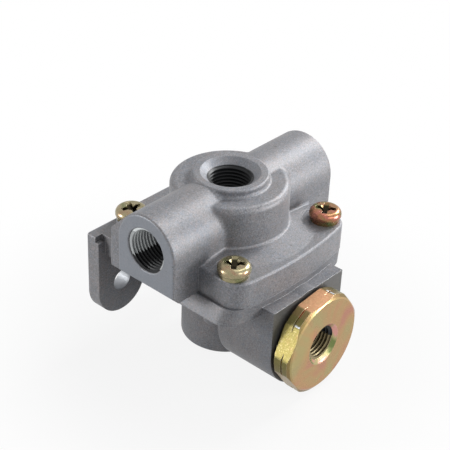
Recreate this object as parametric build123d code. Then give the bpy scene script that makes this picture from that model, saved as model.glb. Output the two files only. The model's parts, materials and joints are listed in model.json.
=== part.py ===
from build123d import *
import math
import os

# Quick exhaust valve: two castings held together by four screws.
# The upper casting has two delivery ports in line, a supply port on top and two mounting ears behind.
# The lower casting has an exhaust boss below and a side boss that a hexagonal cap nut closes.
# The model is drawn about the crossing of the delivery axis and the upright axis, in millimetres,
# with +X along the delivery tube, -Y towards the cap nut and +Z out of the supply port.
# At the end it is moved so that the origin lies in the mounting face, midway between the ear holes.

# Delivery tube
PORT_SPAN = 87.0
TUBE_RADIUS = 13.8
PORT_FACE_DROP = 14.2
PORT_EDGE = 0.9
CHEEK_REACH = 17.8
CHEEK_TOP = 1.5
CHEEK_SETBACK = 0.6
CHEEK_ROOT = 30.0
CHEEK_BEVEL = 2.5

# Pipe threads, drawn as plain bores at their major radius
DELIVERY_THREAD_RADIUS = 8.55
DELIVERY_THREAD_DEPTH = 14.0
SUPPLY_THREAD_RADIUS = 8.6
SUPPLY_THREAD_DEPTH = 13.0
SIDE_THREAD_RADIUS = 6.85
SIDE_THREAD_DEPTH = 11.0
MOUTH_CHAMFER = 0.4

# Supply boss and the round housing under it
SUPPLY_FACE = 14.2
SUPPLY_BOSS_RADIUS = 14.2
SUPPLY_BOSS_STEP = 2.9
SINK_RADIUS = 11.2
SINK_DEPTH = 2.3
HOUSING_RADIUS = 22.2
HOUSING_EDGE = 2.4
TUBE_BLEND = 2.5
BOSS_BLEND = 2.0
BOSS_FOOT = 1.5
BOSS_FOOT_ROUND = 1.4
BOSS_FOOT_SINK = 0.15
BOSS_EDGE = 0.7

# Upper flange
PARTING_DROP = 16.8
SEAT_DROP = 6.2
FLANGE_SIDE_MARGIN = 5.5
FRONT_REACH = 35.2
BACK_REACH = 32.1
FRONT_BULGE_RADIUS = 143.0
FLANGE_CORNER = 7.0
FLANGE_EDGE = 0.8
SLOPE_RADIUS = 32.6
SLOPE_RISE = 1.4
SLOPE_ROOT = 3.0
FOOT_BLEND = 1.0
SEAT_RADIUS = 8.5

# Mounting ears and the shelf that carries them
EAR_THICKNESS = 5.7
EAR_RADIUS = 11.8
EAR_HOLE_RADIUS = 4.2
EAR_HOLE_SPACING = 59.2
EAR_HOLE_DROP = 32.2
EAR_END_DROP = 33.9
EAR_TOP_DROP = 8.5
EAR_CORNER = 0.8
EAR_NOTCH_DEPTH = 1.6
EAR_NOTCH_HEIGHT = 2.4
EAR_POCKET_GAP = 0.4
SHELF_END = 38.0
SHELF_STEP_REACH = 23.5
SHELF_ROOT = 9.0

# Screws and lock washers
SCREW_SPACING = 50.8
SCREW_RADIUS = 3.0
SCREW_CLEARANCE = 0.4
SCREW_THREAD_GAP = 0.05
SCREW_TIP_INSET = 0.4
HEAD_RADIUS = 6.1
HEAD_HEIGHT = 3.6
HEAD_CROWN = 0.4
HEAD_DOME = 2.1
HEAD_FOOT = 0.8
RECESS_SPAN = 8.2
RECESS_SLOT = 2.0
RECESS_DEPTH = 2.8
RECESS_MOUTH_RADIUS = 2.3
RECESS_TIP_RADIUS = 0.6
RECESS_FLOOR_SHARE = 0.35
WASHER_OUTER = 5.5
WASHER_INNER = 3.2
WASHER_THICKNESS = 1.5
WASHER_SPLIT = 0.7
WASHER_SPLIT_LEAN = 25.0
RECESS_ANGLES = (36.0, 30.0, 71.0, 75.0)

# Lower flange: a slanted ledge on the left, and a slight draft on the right
LOWER_THICKNESS = 5.8
LOWER_BACK_REACH = 29.8
LEDGE_TOP = 1.1
LEDGE_BOTTOM = 4.1
RIGHT_STEP_TOP = 0.4
RIGHT_STEP_BOTTOM = 1.1

# Chamber between the castings
CHAMBER_RADIUS = 17.0
CHAMBER_ROOF = 4.0
NOSE_RADIUS = 10.5
NOSE_BORE = 6.8
NOSE_DROP = 10.0
PASSAGE_RADIUS = 6.4
FLOOR_DEPTH = 2.7

# Body seal
SEAL_RADIUS = 19.3
SEAL_SECTION = 1.2
SEAL_GAP = 0.1

# Diaphragm and its guide
DIAPHRAGM_RADIUS = 15.2
DIAPHRAGM_THICKNESS = 2.4
DIAPHRAGM_RIM = 0.8
DIAPHRAGM_FLAT_MARGIN = 1.0
DIAPHRAGM_TRAVEL = 1.8
GUIDE_PLATE_RADIUS = 5.8
GUIDE_PLATE_THICKNESS = 1.3
GUIDE_SPIGOT_RADIUS = 1.9
GUIDE_HEAD_RADIUS = 3.4
GUIDE_HEAD_HEIGHT = 1.2
GUIDE_PIN_RADIUS = 2.3
GUIDE_PIN_LENGTH = 4.0
GUIDE_LEG_COUNT = 3
GUIDE_LEG_WIDTH = 2.4
GUIDE_LEG_THICKNESS = 1.0
GUIDE_LEG_LENGTH = 8.0
GUIDE_FIT = 0.3

# Exhaust seat, passage and boss
SEAT_BORE = 6.5
SEAT_WALL = 2.0
SPRING_ROOM_RADIUS = 8.0
SPRING_ROOM_DROP = 22.0
RETAINER_DROP = 30.0
EXHAUST_BORE = 9.5
EXHAUST_BOSS_RADIUS = 16.8
EXHAUST_BOSS_DROP = 56.5
EXHAUST_BOSS_EDGE = 1.2
EXHAUST_MOUTH_CHAMFER = 1.0
CORNER_PAD_RADIUS = 5.0
CORNER_PAD_X = -16.0
CORNER_PAD_Y = -10.0
CORNER_PAD_DROP = 38.4

# Return spring, its retainer and the ring under it
SPRING_MEAN_RADIUS = 3.9
SPRING_WIRE_RADIUS = 0.42
SPRING_TURNS = 6.0
SPRING_SEAT_GAP = 0.05
RETAINER_THICKNESS = 1.6
RETAINER_FIT = 0.05
RETAINER_HOLE_RADIUS = 2.0
RETAINER_HOLE_CIRCLE = 6.4
RETAINER_HOLE_COUNT = 6
RETAINER_PIN_RADIUS = 2.3
RETAINER_PIN_HEIGHT = 2.0
RING_THICKNESS = 1.0
RING_GROOVE_DEPTH = 1.0
RING_INNER = 8.0
RING_FIT = 0.05
RING_OPENING_ANGLE = 50.0

# Side boss that holds the check piece and the cap nut
SIDE_AXIS_DROP = 38.6
SIDE_BOSS_RADIUS = 19.6
SIDE_BOSS_TOP_DROP = 19.4
SIDE_FACE_REACH = 39.7
SIDE_BACK_REACH = 12.6
SIDE_BACK_ROUND = 2.5
SIDE_TOP_ROUND = 0.5
SIDE_BORE = 14.5
SIDE_BORE_LENGTH = 9.0
SIDE_MOUTH_CHAMFER = 2.5
CHECK_ROOM_RADIUS = 12.5
CHECK_ROOM_DEPTH = 17.7
SIDE_PASSAGE_RADIUS = 5.0
SIDE_PASSAGE_REACH = 12.4
CROSS_PASSAGE_RADIUS = 2.8
CROSS_PASSAGE_REACH = 14.6

# Check piece and its seat
CHECK_SEAT_THICKNESS = 2.5
CHECK_SEAT_FIT = 0.05
CHECK_DISC_RADIUS = 9.0
CHECK_DISC_THICKNESS = 5.5
CHECK_TRAVEL = 3.0
CHECK_WING_COUNT = 4
CHECK_WING_WIDTH = 2.4
CHECK_WING_FIT = 0.3

# Cap nut
NUT_STAND_OUT = 8.6
NUT_HEX_THICKNESS = 7.3
NUT_ACROSS_FLATS = 37.2
NUT_LAND_RADIUS = 19.9
NUT_FACE_RADIUS = 18.2
NUT_FACE_BEVEL = 1.1
NUT_BACK_BEVEL = 0.5
NUT_GROOVE_WIDTH = 0.7
NUT_GROOVE_DEPTH = 0.8
NUT_TURN = 5.0
NUT_NECK_FIT = 0.1
NUT_PORT_BORE = 4.5
NUT_MOUTH_RADIUS = 8.3
NUT_SEAT_RADIUS = 6.5
NUT_SEAT_HEIGHT = 0.8
NUT_SEAL_SECTION = 0.9
NUT_SEAL_GAP = 0.05

# Sizes worked out from those above
port_end = PORT_SPAN / 2
parting = -PARTING_DROP
seat = -SEAT_DROP
housing_top = SUPPLY_FACE - SUPPLY_BOSS_STEP
ear_front = BACK_REACH - EAR_THICKNESS
ear_x = EAR_HOLE_SPACING / 2
ear_z = -EAR_HOLE_DROP
ear_end_z = -EAR_END_DROP
screw_reach = SCREW_SPACING / 2
flange_side = screw_reach + FLANGE_SIDE_MARGIN
slope_steepness = SLOPE_RISE / (SLOPE_RADIUS - HOUSING_RADIUS)
lower_bottom = parting - LOWER_THICKNESS
nose_end = -NOSE_DROP
diaphragm_bottom = nose_end - DIAPHRAGM_THICKNESS
exhaust_seat = diaphragm_bottom - DIAPHRAGM_TRAVEL
guide_plate_bottom = diaphragm_bottom - GUIDE_PLATE_THICKNESS
chamber_floor = parting - FLOOR_DEPTH
side_z = -SIDE_AXIS_DROP
check_room_reach = SIDE_FACE_REACH - CHECK_ROOM_DEPTH
nut_face = SIDE_FACE_REACH + NUT_STAND_OUT
nut_back = nut_face - NUT_HEX_THICKNESS
check_seat_face = check_room_reach + CHECK_SEAT_THICKNESS
nut_nose_reach = check_seat_face + CHECK_DISC_THICKNESS + CHECK_TRAVEL
screw_places = [
    (-screw_reach, -screw_reach),
    (screw_reach, -screw_reach),
    (-screw_reach, screw_reach),
    (screw_reach, screw_reach),
]

# The finished model stands with the mounting face at y = 0 and the ear holes at z = 0.
PLACE = Location((0, -BACK_REACH, EAR_HOLE_DROP))

# Places along an edge where its position is looked at when edges are picked
LOOKS = (0.0, 0.25, 0.5, 0.75, 1.0)
CLOSE = 0.001


def upright(radius, low, high, x=0.0, y=0.0):
    """Round bar about an upright line, from one height to another."""
    return Pos(x, y, (low + high) / 2) * Cylinder(radius, high - low)


def across(radius, near, far, x=0.0, z=0.0):
    """Round bar along Y, given by how far its two ends reach towards -Y."""
    return Pos(x, -(near + far) / 2, z) * Rot(90, 0, 0) * Cylinder(radius, far - near)


def along(radius, near, far):
    """Round bar along the delivery axis, between two places on X."""
    return Pos((near + far) / 2, 0, 0) * Rot(0, 90, 0) * Cylinder(radius, far - near)


def spin(points, round_at=()):
    """Solid turned about Z from (radius, height) points; round_at lists (point number, radius)."""
    outline = make_face(Polyline(*[(r, z) for r, z in points], close=True))
    for number, radius in round_at:
        place = Vector(*points[number])
        corner = outline.vertices().sort_by_distance(place)[0]
        outline = fillet(corner, radius)
    return revolve(Plane.XZ * outline, Axis.Z)


def spin_y(points):
    """Solid turned about the side bore's axis from (radius, reach towards -Y) points."""
    outline = make_face(Polyline(*[(r, -reach) for r, reach in points], close=True))
    return Pos(0, 0, side_z) * revolve(outline, Axis.Y)


def flange_outline(left, right, back):
    """Flange plan with a bulged front, straight sides and back, and rounded corners."""
    plan = Pos((right - left) / 2, (back - FRONT_REACH) / 2) * Rectangle(left + right, FRONT_REACH + back)
    plan &= Pos(0, FRONT_BULGE_RADIUS - FRONT_REACH) * Circle(FRONT_BULGE_RADIUS)
    return fillet(plan.vertices(), FLANGE_CORNER)


def blend(shape, edges, radius):
    """Rounds edges, with a smaller radius where the full one finds no room."""
    for share in (1.0, 0.7, 0.4):
        try:
            rounded = fillet(edges, radius * share)
        except (ValueError, RuntimeError):
            continue
        if rounded.is_valid:
            return rounded
    raise ValueError("the edges can't be rounded")


def reach(point):
    """Distance of a point from the upright axis."""
    return (point.X**2 + point.Y**2) ** 0.5


def on_tube(point):
    """Whether a point lies on the skin of the delivery tube."""
    if point.Z >= 0:
        return abs((point.Y**2 + point.Z**2) ** 0.5 - TUBE_RADIUS) < CLOSE
    return abs(abs(point.Y) - TUBE_RADIUS) < CLOSE


def picked(shape, wanted):
    """Edges of a shape whose every looked-at point passes the test."""
    return [edge for edge in shape.edges() if all(wanted(edge @ look) for look in LOOKS)]


def under_bevel(side, width):
    """Wedge that takes the lower corner off under a port face."""
    bevel = PARTING_DROP - PORT_FACE_DROP
    end = side * (port_end + bevel)
    corner = make_face(
        Polyline(
            (end, -PORT_FACE_DROP + bevel),
            (end, parting - bevel),
            (end - side * 3 * bevel, parting - bevel),
            close=True,
        )
    )
    return extrude(Plane.XZ * corner, width, both=True)


def tube_solid():
    """Delivery tube: round on top, straight sides down to the joint, bevelled under each port face."""
    section = Circle(TUBE_RADIUS) + Pos(0, parting / 2) * Rectangle(2 * TUBE_RADIUS, PARTING_DROP)
    tube = extrude(Plane.YZ * section, port_end, both=True)
    rims = tube.faces().sort_by(Axis.X)
    rims = rims[0].edges() + rims[-1].edges()
    upper_rims = [edge for edge in rims if edge.center().Z > parting + PORT_EDGE]
    tube = blend(tube, upper_rims, PORT_EDGE)
    return tube - under_bevel(-1, 2 * TUBE_RADIUS) - under_bevel(1, 2 * TUBE_RADIUS)


def housing_solid():
    """Round housing and supply boss grown together with the delivery tube by soft blends."""
    ring = spin(
        [(0, parting), (HOUSING_RADIUS, parting), (HOUSING_RADIUS, housing_top), (0, housing_top)],
        [(2, HOUSING_EDGE)],
    )
    body = tube_solid() + ring
    join = picked(
        body,
        lambda point: on_tube(point) and reach(point) < HOUSING_RADIUS + CLOSE and point.Z > parting - CLOSE,
    )
    join = [edge for edge in join if (edge @ 0.5).Z > parting + CLOSE]
    body = blend(body, join, TUBE_BLEND)

    # The foot's round ends a little under the housing's top, so that it cuts the tube's blend cleanly
    foot = SUPPLY_BOSS_RADIUS + BOSS_FOOT
    foot_top = housing_top - BOSS_FOOT_SINK
    boss = spin(
        [
            (0, 0),
            (foot, 0),
            (foot, foot_top),
            (SUPPLY_BOSS_RADIUS, foot_top),
            (SUPPLY_BOSS_RADIUS, SUPPLY_FACE),
            (0, SUPPLY_FACE),
        ],
        [(3, BOSS_FOOT_ROUND), (4, BOSS_EDGE)],
    )
    body += boss
    join = picked(
        body,
        lambda point: SUPPLY_BOSS_RADIUS - CLOSE < reach(point) < foot + BOSS_FOOT_SINK
        and housing_top - CLOSE < point.Z < SUPPLY_FACE - BOSS_FOOT_SINK,
    )
    return blend(body, join, BOSS_BLEND)


def on_slope(point):
    """Whether a point lies on the flange's top where it rises towards the housing."""
    return abs(point.Z - seat - slope_steepness * (SLOPE_RADIUS - reach(point))) < CLOSE


def flange_solid(housing):
    """Upper flange, whose top rises gently to the housing's foot."""
    outline = flange_outline(flange_side, flange_side, BACK_REACH)
    flat = Pos(0, 0, parting) * extrude(outline, seat - parting)
    flat = fillet(flat.edges().group_by(Axis.Z)[-1], FLANGE_EDGE)

    # The slope goes on down inside the flange, so that the round along its foot ends inside it too
    root = seat - SLOPE_ROOT
    top = seat + SLOPE_RISE
    slope = spin([(0, root), (SLOPE_RADIUS + SLOPE_ROOT / slope_steepness, root), (HOUSING_RADIUS, top), (0, top)])
    slope &= Pos(0, 0, root) * extrude(offset(outline, -FLANGE_EDGE), top - root)
    body = housing + slope
    near = HOUSING_RADIUS + 2 * TUBE_BLEND
    join = picked(body, lambda point: on_slope(point) and (on_tube(point) or reach(point) < near))
    return blend(body, join, FOOT_BLEND) + flat


def shelf_solid(side):
    """Shelf behind the tube that carries an ear, with the cheek that rises from it beside the port."""
    cheek_end = port_end - CHEEK_SETBACK
    points = [
        (side * SHELF_ROOT, 0),
        (side * cheek_end, 0),
        (side * cheek_end, CHEEK_REACH),
        (side * SHELF_END, SHELF_STEP_REACH),
        (side * SHELF_END, BACK_REACH),
        (side * SHELF_ROOT, BACK_REACH),
    ]
    plan = make_face(Polyline(*points, close=True))
    shelf = Pos(0, 0, parting) * extrude(plan, PARTING_DROP - EAR_TOP_DROP)

    tangent = math.atan2(CHEEK_TOP, CHEEK_REACH) + math.acos(TUBE_RADIUS / math.hypot(CHEEK_TOP, CHEEK_REACH))
    cheek = make_face(
        Polyline(
            (0, parting),
            (CHEEK_REACH - CHEEK_BEVEL, parting),
            (CHEEK_REACH, -PORT_FACE_DROP + CHEEK_BEVEL),
            (CHEEK_REACH, CHEEK_TOP),
            (TUBE_RADIUS * math.cos(tangent), TUBE_RADIUS * math.sin(tangent)),
            (0, 0),
            close=True,
        )
    )
    length = cheek_end - CHEEK_ROOT
    cheek = Pos(side * (CHEEK_ROOT + length / 2), 0, 0) * extrude(Plane.YZ * cheek, length / 2, both=True)
    return shelf + cheek - under_bevel(side, 2 * CHEEK_REACH)


def ear_solid(side):
    """Mounting ear: flat plate with a round lower end, thinned at its top outer corner."""
    x = side * ear_x
    rise = EAR_END_DROP - EAR_TOP_DROP
    plate = Circle(EAR_RADIUS) + Pos(0, rise / 2) * Rectangle(2 * EAR_RADIUS, rise)
    top_corners = plate.vertices().group_by(Axis.Y)[-1]
    outer_corner = top_corners.sort_by(Axis.X)[0 if side < 0 else -1]
    plate = fillet(outer_corner, EAR_CORNER)
    ear_plane = Plane((x, ear_front, ear_end_z), x_dir=(1, 0, 0), z_dir=(0, -1, 0))
    ear = extrude(ear_plane * plate, -EAR_THICKNESS)
    notch = Pos(side * (SHELF_END + EAR_RADIUS / 2), ear_front, -EAR_TOP_DROP) * Box(
        EAR_RADIUS, 2 * EAR_NOTCH_DEPTH, 2 * EAR_NOTCH_HEIGHT
    )
    return ear - notch


def upper_body():
    """Upper casting, with the ports, the chamber and the seal groove cut into it."""
    body = flange_solid(housing_solid())
    for side in (-1, 1):
        body = body + shelf_solid(side) + ear_solid(side)
    for x, y in screw_places:
        body -= Pos(x, y, seat + SLOPE_RISE) * Cone(SEAT_RADIUS, SEAT_RADIUS + 2 * SLOPE_RISE, 2 * SLOPE_RISE)

    # Room in the ears for the lower flange
    room = flange_outline(flange_side + LEDGE_BOTTOM, flange_side - RIGHT_STEP_TOP, LOWER_BACK_REACH)
    room = offset(room, EAR_POCKET_GAP)
    body -= Pos(0, 0, lower_bottom - EAR_POCKET_GAP) * extrude(room, LOWER_THICKNESS + EAR_POCKET_GAP)

    # Delivery ports and the passages behind them
    for side in (-1, 1):
        thread_end = port_end - DELIVERY_THREAD_DEPTH
        body -= along(DELIVERY_THREAD_RADIUS, *sorted((side * thread_end, side * port_end)))
        mouth = Pos(side * (port_end - MOUTH_CHAMFER / 2), 0, 0) * Rot(0, side * 90, 0)
        body -= mouth * Cone(DELIVERY_THREAD_RADIUS, DELIVERY_THREAD_RADIUS + MOUTH_CHAMFER, MOUTH_CHAMFER)
        inner = (CHAMBER_RADIUS + NOSE_RADIUS) / 2
        body -= along(PASSAGE_RADIUS, *sorted((side * inner, side * thread_end)))
        body -= Pos(side * ear_x, BACK_REACH - EAR_THICKNESS / 2, ear_z) * Rot(90, 0, 0) * Cylinder(
            EAR_HOLE_RADIUS, 2 * EAR_THICKNESS
        )

    # Chamber around the nose, the supply port and the seal groove
    chamber = upright(CHAMBER_RADIUS, parting, CHAMBER_ROOF) - upright(NOSE_RADIUS, nose_end, CHAMBER_ROOF)
    body -= chamber
    body -= spin(
        [
            (0, nose_end),
            (NOSE_BORE, nose_end),
            (NOSE_BORE, SUPPLY_FACE - SINK_DEPTH - SUPPLY_THREAD_DEPTH),
            (SUPPLY_THREAD_RADIUS, SUPPLY_FACE - SINK_DEPTH - SUPPLY_THREAD_DEPTH),
            (SUPPLY_THREAD_RADIUS, SUPPLY_FACE - SINK_DEPTH),
            (SINK_RADIUS, SUPPLY_FACE),
            (0, SUPPLY_FACE),
        ]
    )
    groove_half = SEAL_SECTION + SEAL_GAP
    body -= upright(SEAL_RADIUS + groove_half, parting, parting + 2 * SEAL_SECTION) - upright(
        SEAL_RADIUS - groove_half, parting, parting + 2 * SEAL_SECTION
    )
    for x, y in screw_places:
        body -= upright(SCREW_RADIUS + SCREW_CLEARANCE, parting, SUPPLY_FACE, x, y)
    return body


def lower_body():
    """Lower casting, with the exhaust seat and passage, and the bore for the check piece."""
    top = flange_outline(flange_side + LEDGE_TOP, flange_side - RIGHT_STEP_TOP, LOWER_BACK_REACH)
    bottom = flange_outline(flange_side + LEDGE_BOTTOM, flange_side - RIGHT_STEP_BOTTOM, LOWER_BACK_REACH)
    body = loft([Pos(0, 0, lower_bottom) * bottom, Pos(0, 0, parting) * top], ruled=True)
    boss = upright(EXHAUST_BOSS_RADIUS, -EXHAUST_BOSS_DROP, parting)
    boss = fillet(boss.edges().group_by(Axis.Z)[0], EXHAUST_BOSS_EDGE)
    body += boss
    body += upright(CORNER_PAD_RADIUS, -CORNER_PAD_DROP, parting, CORNER_PAD_X, CORNER_PAD_Y)

    side_top = -SIDE_BOSS_TOP_DROP
    side_section = Circle(SIDE_BOSS_RADIUS) + Pos(0, (side_top - side_z) / 2) * Rectangle(
        2 * SIDE_BOSS_RADIUS, side_top - side_z
    )
    side_corner = side_section.vertices().group_by(Axis.Y)[-1].sort_by(Axis.X)[0]
    side_section = fillet(side_corner, SIDE_TOP_ROUND)
    side_plane = Plane((0, -SIDE_BACK_REACH, side_z), x_dir=(1, 0, 0), z_dir=(0, -1, 0))
    side_boss = extrude(side_plane * side_section, SIDE_FACE_REACH - SIDE_BACK_REACH)
    back_rim = side_boss.edges().group_by(Axis.Y)[-1]
    body += blend(side_boss, [edge for edge in back_rim if edge.center().Z < side_top - CLOSE], SIDE_BACK_ROUND)

    # Chamber floor around the exhaust seat
    body -= upright(CHAMBER_RADIUS, chamber_floor, parting)
    body += upright(SEAT_BORE + SEAT_WALL, chamber_floor, exhaust_seat)

    # Exhaust passage, stepped for the spring retainer and its ring
    body -= spin(
        [
            (0, exhaust_seat),
            (SEAT_BORE, exhaust_seat),
            (SEAT_BORE, -SPRING_ROOM_DROP),
            (SPRING_ROOM_RADIUS, -SPRING_ROOM_DROP),
            (SPRING_ROOM_RADIUS, -RETAINER_DROP),
            (EXHAUST_BORE, -RETAINER_DROP),
            (EXHAUST_BORE, -EXHAUST_BOSS_DROP + EXHAUST_MOUTH_CHAMFER),
            (EXHAUST_BORE + EXHAUST_MOUTH_CHAMFER, -EXHAUST_BOSS_DROP),
            (0, -EXHAUST_BOSS_DROP),
        ]
    )
    ring_top = -RETAINER_DROP - RETAINER_THICKNESS
    body -= upright(EXHAUST_BORE + RING_GROOVE_DEPTH, ring_top - RING_THICKNESS - RING_FIT, ring_top)

    # Side bore and the passages from it to the chamber
    bore_end = SIDE_FACE_REACH - SIDE_BORE_LENGTH
    body -= spin_y(
        [
            (0, SIDE_PASSAGE_REACH),
            (SIDE_PASSAGE_RADIUS, SIDE_PASSAGE_REACH),
            (SIDE_PASSAGE_RADIUS, check_room_reach),
            (CHECK_ROOM_RADIUS, check_room_reach),
            (CHECK_ROOM_RADIUS, bore_end),
            (SIDE_BORE, bore_end),
            (SIDE_BORE, SIDE_FACE_REACH - SIDE_MOUTH_CHAMFER),
            (SIDE_BORE + SIDE_MOUTH_CHAMFER, SIDE_FACE_REACH),
            (0, SIDE_FACE_REACH),
        ]
    )
    body -= upright(CROSS_PASSAGE_RADIUS, side_z, chamber_floor, 0, -CROSS_PASSAGE_REACH)
    for x, y in screw_places:
        body -= upright(SCREW_RADIUS, lower_bottom, parting, x, y)
    return body


def body_seal():
    """Seal ring in the groove round the chamber."""
    return Pos(0, 0, parting + SEAL_SECTION) * Torus(SEAL_RADIUS, SEAL_SECTION)


def diaphragm():
    """Rubber disc that closes the supply nose at rest and the exhaust seat when pressed down."""
    low = diaphragm_bottom
    disc = spin(
        [
            (GUIDE_SPIGOT_RADIUS, low),
            (SEAT_BORE + SEAT_WALL + DIAPHRAGM_FLAT_MARGIN, low),
            (DIAPHRAGM_RADIUS, low + DIAPHRAGM_RIM),
            (DIAPHRAGM_RADIUS, nose_end - DIAPHRAGM_RIM / 2),
            (NOSE_RADIUS + DIAPHRAGM_FLAT_MARGIN, nose_end),
            (GUIDE_SPIGOT_RADIUS, nose_end),
        ]
    )
    return disc


def diaphragm_guide():
    """Guide under the diaphragm: plate, spigot with a head, spring pin and legs that run in the seat bore."""
    guide = upright(GUIDE_PLATE_RADIUS, guide_plate_bottom, diaphragm_bottom)
    guide += upright(GUIDE_SPIGOT_RADIUS, diaphragm_bottom, nose_end)
    guide += upright(GUIDE_HEAD_RADIUS, nose_end, nose_end + GUIDE_HEAD_HEIGHT)
    guide += upright(GUIDE_PIN_RADIUS, guide_plate_bottom - GUIDE_PIN_LENGTH, guide_plate_bottom)
    reach = SEAT_BORE - GUIDE_FIT
    ring = upright(reach, guide_plate_bottom - GUIDE_LEG_LENGTH, guide_plate_bottom) - upright(
        reach - GUIDE_LEG_THICKNESS, guide_plate_bottom - GUIDE_LEG_LENGTH, guide_plate_bottom
    )
    low = guide_plate_bottom - GUIDE_LEG_LENGTH
    for number in range(GUIDE_LEG_COUNT):
        turn = Rot(0, 0, 360 / GUIDE_LEG_COUNT * number)
        leg = turn * Pos(reach / 2, 0, (low + diaphragm_bottom) / 2) * Box(
            reach, GUIDE_LEG_WIDTH, diaphragm_bottom - low
        )
        shell = upright(reach, low, diaphragm_bottom) - upright(reach - GUIDE_LEG_THICKNESS, low, diaphragm_bottom)
        guide += leg & shell
    return guide


def diaphragm_spring():
    """Light coil spring between the guide plate and the retainer."""
    low = -RETAINER_DROP + SPRING_SEAT_GAP + SPRING_WIRE_RADIUS
    high = guide_plate_bottom - SPRING_SEAT_GAP - SPRING_WIRE_RADIUS
    path = Pos(0, 0, low) * Helix((high - low) / SPRING_TURNS, high - low, SPRING_MEAN_RADIUS)
    start = path @ 0
    section = Plane(start, x_dir=(1, 0, 0), z_dir=path % 0) * Circle(SPRING_WIRE_RADIUS)
    return sweep(section, path=path, is_frenet=True)


def spring_retainer():
    """Perforated disc that carries the spring's lower end."""
    top = -RETAINER_DROP
    disc = upright(EXHAUST_BORE - RETAINER_FIT, top - RETAINER_THICKNESS, top)
    disc += upright(RETAINER_PIN_RADIUS, top, top + RETAINER_PIN_HEIGHT)
    for number in range(RETAINER_HOLE_COUNT):
        turn = Rot(0, 0, 360 / RETAINER_HOLE_COUNT * number)
        disc -= turn * upright(RETAINER_HOLE_RADIUS, top - RETAINER_THICKNESS, top, RETAINER_HOLE_CIRCLE)
    return disc


def retaining_ring():
    """Open ring snapped into the groove under the retainer."""
    top = -RETAINER_DROP - RETAINER_THICKNESS
    low = top - RING_THICKNESS
    outer = EXHAUST_BORE + RING_GROOVE_DEPTH - RING_FIT
    ring = upright(outer, low, top) - upright(RING_INNER, low, top)
    gap = make_face(
        Polyline(
            (0, 0),
            Vector(2 * outer, 0).rotate(Axis.Z, -RING_OPENING_ANGLE / 2),
            Vector(2 * outer, 0).rotate(Axis.Z, RING_OPENING_ANGLE / 2),
            close=True,
        )
    )
    return ring - Pos(0, 0, low) * extrude(gap, RING_THICKNESS)


def cap_nut():
    """Hexagonal cap nut with a pipe thread, a neck in the side bore and a raised seat on its nose."""
    half_flats = NUT_ACROSS_FLATS / 2
    hexagon = RegularPolygon(half_flats, 6, major_radius=False, rotation=NUT_TURN)
    hex_plane = Plane((0, -nut_back, side_z), x_dir=(1, 0, 0), z_dir=(0, -1, 0))
    prism = extrude(hex_plane * hexagon, NUT_HEX_THICKNESS)
    groove_at = (nut_back + nut_face) / 2
    turned = spin_y(
        [
            (0, nut_back),
            (NUT_LAND_RADIUS - NUT_BACK_BEVEL, nut_back),
            (NUT_LAND_RADIUS, nut_back + NUT_BACK_BEVEL),
            (NUT_LAND_RADIUS, groove_at - NUT_GROOVE_WIDTH / 2),
            (NUT_LAND_RADIUS - NUT_GROOVE_DEPTH, groove_at - NUT_GROOVE_WIDTH / 4),
            (NUT_LAND_RADIUS - NUT_GROOVE_DEPTH, groove_at + NUT_GROOVE_WIDTH / 4),
            (NUT_LAND_RADIUS, groove_at + NUT_GROOVE_WIDTH / 2),
            (NUT_LAND_RADIUS, nut_face - NUT_FACE_BEVEL),
            (NUT_FACE_RADIUS, nut_face),
            (0, nut_face),
        ]
    )
    nut = prism & turned
    nut += across(SIDE_BORE - NUT_NECK_FIT, nut_nose_reach + NUT_SEAT_HEIGHT, nut_back, 0, side_z)
    nut += across(NUT_SEAT_RADIUS, nut_nose_reach, nut_nose_reach + NUT_SEAT_HEIGHT, 0, side_z)
    nut -= spin_y(
        [
            (0, nut_nose_reach),
            (NUT_PORT_BORE, nut_nose_reach),
            (NUT_PORT_BORE, nut_face - SIDE_THREAD_DEPTH),
            (SIDE_THREAD_RADIUS, nut_face - SIDE_THREAD_DEPTH),
            (SIDE_THREAD_RADIUS, nut_face - (NUT_MOUTH_RADIUS - SIDE_THREAD_RADIUS)),
            (NUT_MOUTH_RADIUS, nut_face),
            (0, nut_face),
        ]
    )
    return nut


def cap_nut_seal():
    """Seal ring squeezed between the hexagon and the mouth of the side bore."""
    reach = nut_back - NUT_SEAL_GAP - NUT_SEAL_SECTION
    radius = SIDE_BORE - NUT_NECK_FIT + NUT_SEAL_GAP + NUT_SEAL_SECTION
    return Pos(0, -reach, side_z) * Rot(90, 0, 0) * Torus(radius, NUT_SEAL_SECTION)


def check_seat():
    """Ring at the inner end of the check room, with the inner seat on its face."""
    ring = across(CHECK_ROOM_RADIUS - CHECK_SEAT_FIT, check_room_reach, check_seat_face, 0, side_z)
    return ring - across(SIDE_PASSAGE_RADIUS, check_room_reach, check_seat_face, 0, side_z)


def check_shuttle():
    """Loose check piece: a disc with wings that run in the check room."""
    near = check_seat_face
    far = check_seat_face + CHECK_DISC_THICKNESS
    disc = across(CHECK_DISC_RADIUS, near, far, 0, side_z)
    reach = CHECK_ROOM_RADIUS - CHECK_WING_FIT
    guide = across(reach, near, far, 0, side_z)
    for number in range(CHECK_WING_COUNT // 2):
        bar = Pos(0, -(near + far) / 2, side_z) * Rot(0, 45 + 90 * number, 0) * Box(
            2 * CHECK_ROOM_RADIUS, far - near, CHECK_WING_WIDTH
        )
        disc += bar & guide
    return disc


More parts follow.
